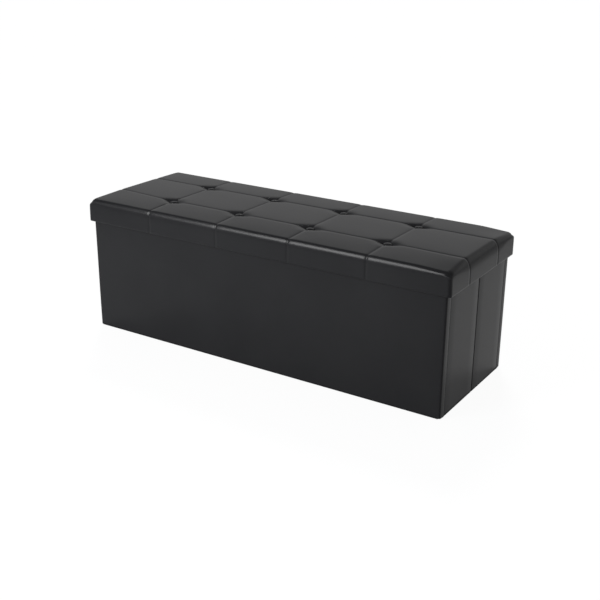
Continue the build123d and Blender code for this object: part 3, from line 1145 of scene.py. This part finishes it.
def camera():
    """The photograph's viewpoint."""
    level = math.cos(CAMERA_PITCH)
    back = Vector((math.sin(CAMERA_YAW) * level, -math.cos(CAMERA_YAW) * level, math.sin(CAMERA_PITCH)))
    right = Vector((math.cos(CAMERA_YAW), math.sin(CAMERA_YAW), 0))
    up = back.cross(right)
    place = back * CAMERA_DISTANCE + Vector((0, 0, CAMERA_AIM_Z))
    place += right * CAMERA_ASIDE
    place += up * CAMERA_RAISE
    data = bpy.data.cameras.new("photo_camera")
    data.sensor_width = SENSOR_WIDTH
    data.lens = SENSOR_WIDTH * FOCAL_PIXELS / FRAME_PIXELS
    data.clip_end = CAMERA_REACH
    seat = linked("photo_camera", data)
    axes = Matrix((right, up, back)).transposed().to_4x4()
    seat.matrix_world = Matrix.Translation(place) @ axes @ Matrix.Rotation(CAMERA_ROLL, 4, "Z")
    bpy.context.scene.camera = seat


def floor():
    """A white floor that shows plain white to the eye and keeps a faint shadow.

    In reflections it carries painted shade: darker far off, and in a wedge from the near corner towards
    the viewer.
    """
    corners = ((-1, -1), (1, -1), (1, 1), (-1, 1))
    mesh = mesh_from([(x * FLOOR_REACH, y * FLOOR_REACH, 0) for x, y in corners], [(0, 1, 2, 3)])
    material = bpy.data.materials.new("white_floor")
    material.use_nodes = True
    tree = material.node_tree
    tree.nodes.remove(tree.nodes["Principled BSDF"])
    path = tree.nodes.new("ShaderNodeLightPath").outputs
    place = tree.nodes.new("ShaderNodeTexCoord").outputs["Object"]
    away = vector(tree, "LENGTH", place).outputs["Value"]
    from_corner = vector(tree, "SUBTRACT", place, (BOX_X, -BOX_Y, 0)).outputs["Vector"]
    bearing = vector(tree, "NORMALIZE", from_corner).outputs["Vector"]
    towards = (math.sin(CAMERA_YAW), -math.cos(CAMERA_YAW), 0)
    ahead = vector(tree, "DOT_PRODUCT", bearing, towards).outputs["Value"]
    # painted shade in reflections: a wedge of the floor darker from the near corner towards the viewer
    painted_shade = mapped(tree, ahead, *PAINTED_SHADE_WEDGE, 1.0, PAINTED_SHADE_LEFT)
    # painted shade in reflections: the floor darker far off
    far = mapped(tree, away, *FLOOR_FADE, *GLOSSY_PAINT)
    paint = tree.nodes.new("ShaderNodeBsdfDiffuse")
    shade = combined(tree, "MULTIPLY", far, painted_shade)
    tree.links.new(chosen(tree, path["Is Glossy Ray"], FLOOR_PAINT, shade), paint.inputs["Color"])
    mirrored = combined(tree, "MULTIPLY", path["Is Glossy Ray"], GLOSSY_GLOW)
    mirrored = combined(tree, "MULTIPLY", mirrored, painted_shade)
    seen = combined(tree, "MAXIMUM", path["Is Camera Ray"], mirrored)
    seen = combined(tree, "MAXIMUM", seen, path["Is Transmission Ray"])
    glow = tree.nodes.new("ShaderNodeEmission")
    mix = tree.nodes.new("ShaderNodeMixShader")
    tree.links.new(combined(tree, "MULTIPLY", seen, FLOOR_GLOW), mix.inputs["Fac"])
    tree.links.new(paint.outputs[0], mix.inputs[1])
    tree.links.new(glow.outputs[0], mix.inputs[2])
    tree.links.new(mix.outputs[0], tree.nodes["Material Output"].inputs["Surface"])
    plane = link_mesh("floor", mesh, material)
    plane.location.z = -FLOOR_DROP


def studio():
    """A white studio whose ceiling is dark in reflections."""
    world = bpy.data.worlds.new("studio")
    world.use_nodes = True
    bpy.context.scene.world = world
    tree = world.node_tree
    background = tree.nodes["Background"]
    background.inputs["Color"].default_value = (1, 1, 1, 1)
    path = tree.nodes.new("ShaderNodeLightPath")
    place = tree.nodes.new("ShaderNodeTexCoord")
    axes = tree.nodes.new("ShaderNodeSeparateXYZ")
    tree.links.new(place.outputs["Generated"], axes.inputs[0])
    ceiling = mapped(tree, axes.outputs["Z"], *CEILING_RISE, *CEILING_LEVEL)
    horizon = mapped(tree, axes.outputs["Z"], *HORIZON_RISE, *HORIZON_SHARE)
    band = combined(tree, "MULTIPLY", ceiling, horizon)
    lit = chosen(tree, path.outputs["Is Glossy Ray"], WORLD_LEVEL, band)
    strength = combined(tree, "MAXIMUM", lit, path.outputs["Is Camera Ray"])
    tree.links.new(strength, background.inputs["Strength"])


def softbox(name, place, aim, size, power):
    """A flat rectangular light."""
    data = bpy.data.lights.new(name, "AREA")
    data.shape = "RECTANGLE"
    data.size = size[0]
    data.size_y = size[1]
    data.energy = power
    lamp = linked(name, data)
    lamp.location = place
    lamp.rotation_euler = (Vector(place) - Vector(aim)).to_track_quat("Z", "Y").to_euler()
    return lamp


def lights():
    """A key from behind on the left, a strip in front that lines the lid's edge, and a weak fill."""
    strip = softbox("front_strip", **STRIP)
    strip.visible_diffuse = False
    fill = softbox("front_fill", **FILL)
    fill.data.color = FILL_COLOUR
    fill.visible_glossy = False
    data = bpy.data.lights.new("back_key", "SUN")
    data.energy = KEY_STRENGTH
    data.angle = KEY_ANGLE
    lamp = linked("back_key", data)
    lamp.visible_glossy = False
    lamp.rotation_euler = Vector(KEY_FROM).to_track_quat("Z", "Y").to_euler()


bpy.context.scene.view_settings.view_transform = "Standard"
dress_solids()
lid_cushion()
buttons()
for wall_name, wall_sign in WALLS.items():
    long_wall(wall_name, wall_sign)
for side_name in SIDES:
    for end_name in ENDS:
        end_half(side_name, end_name)
hinges()
base_tape()
pull_tab()
camera()
floor()
studio()
lights()
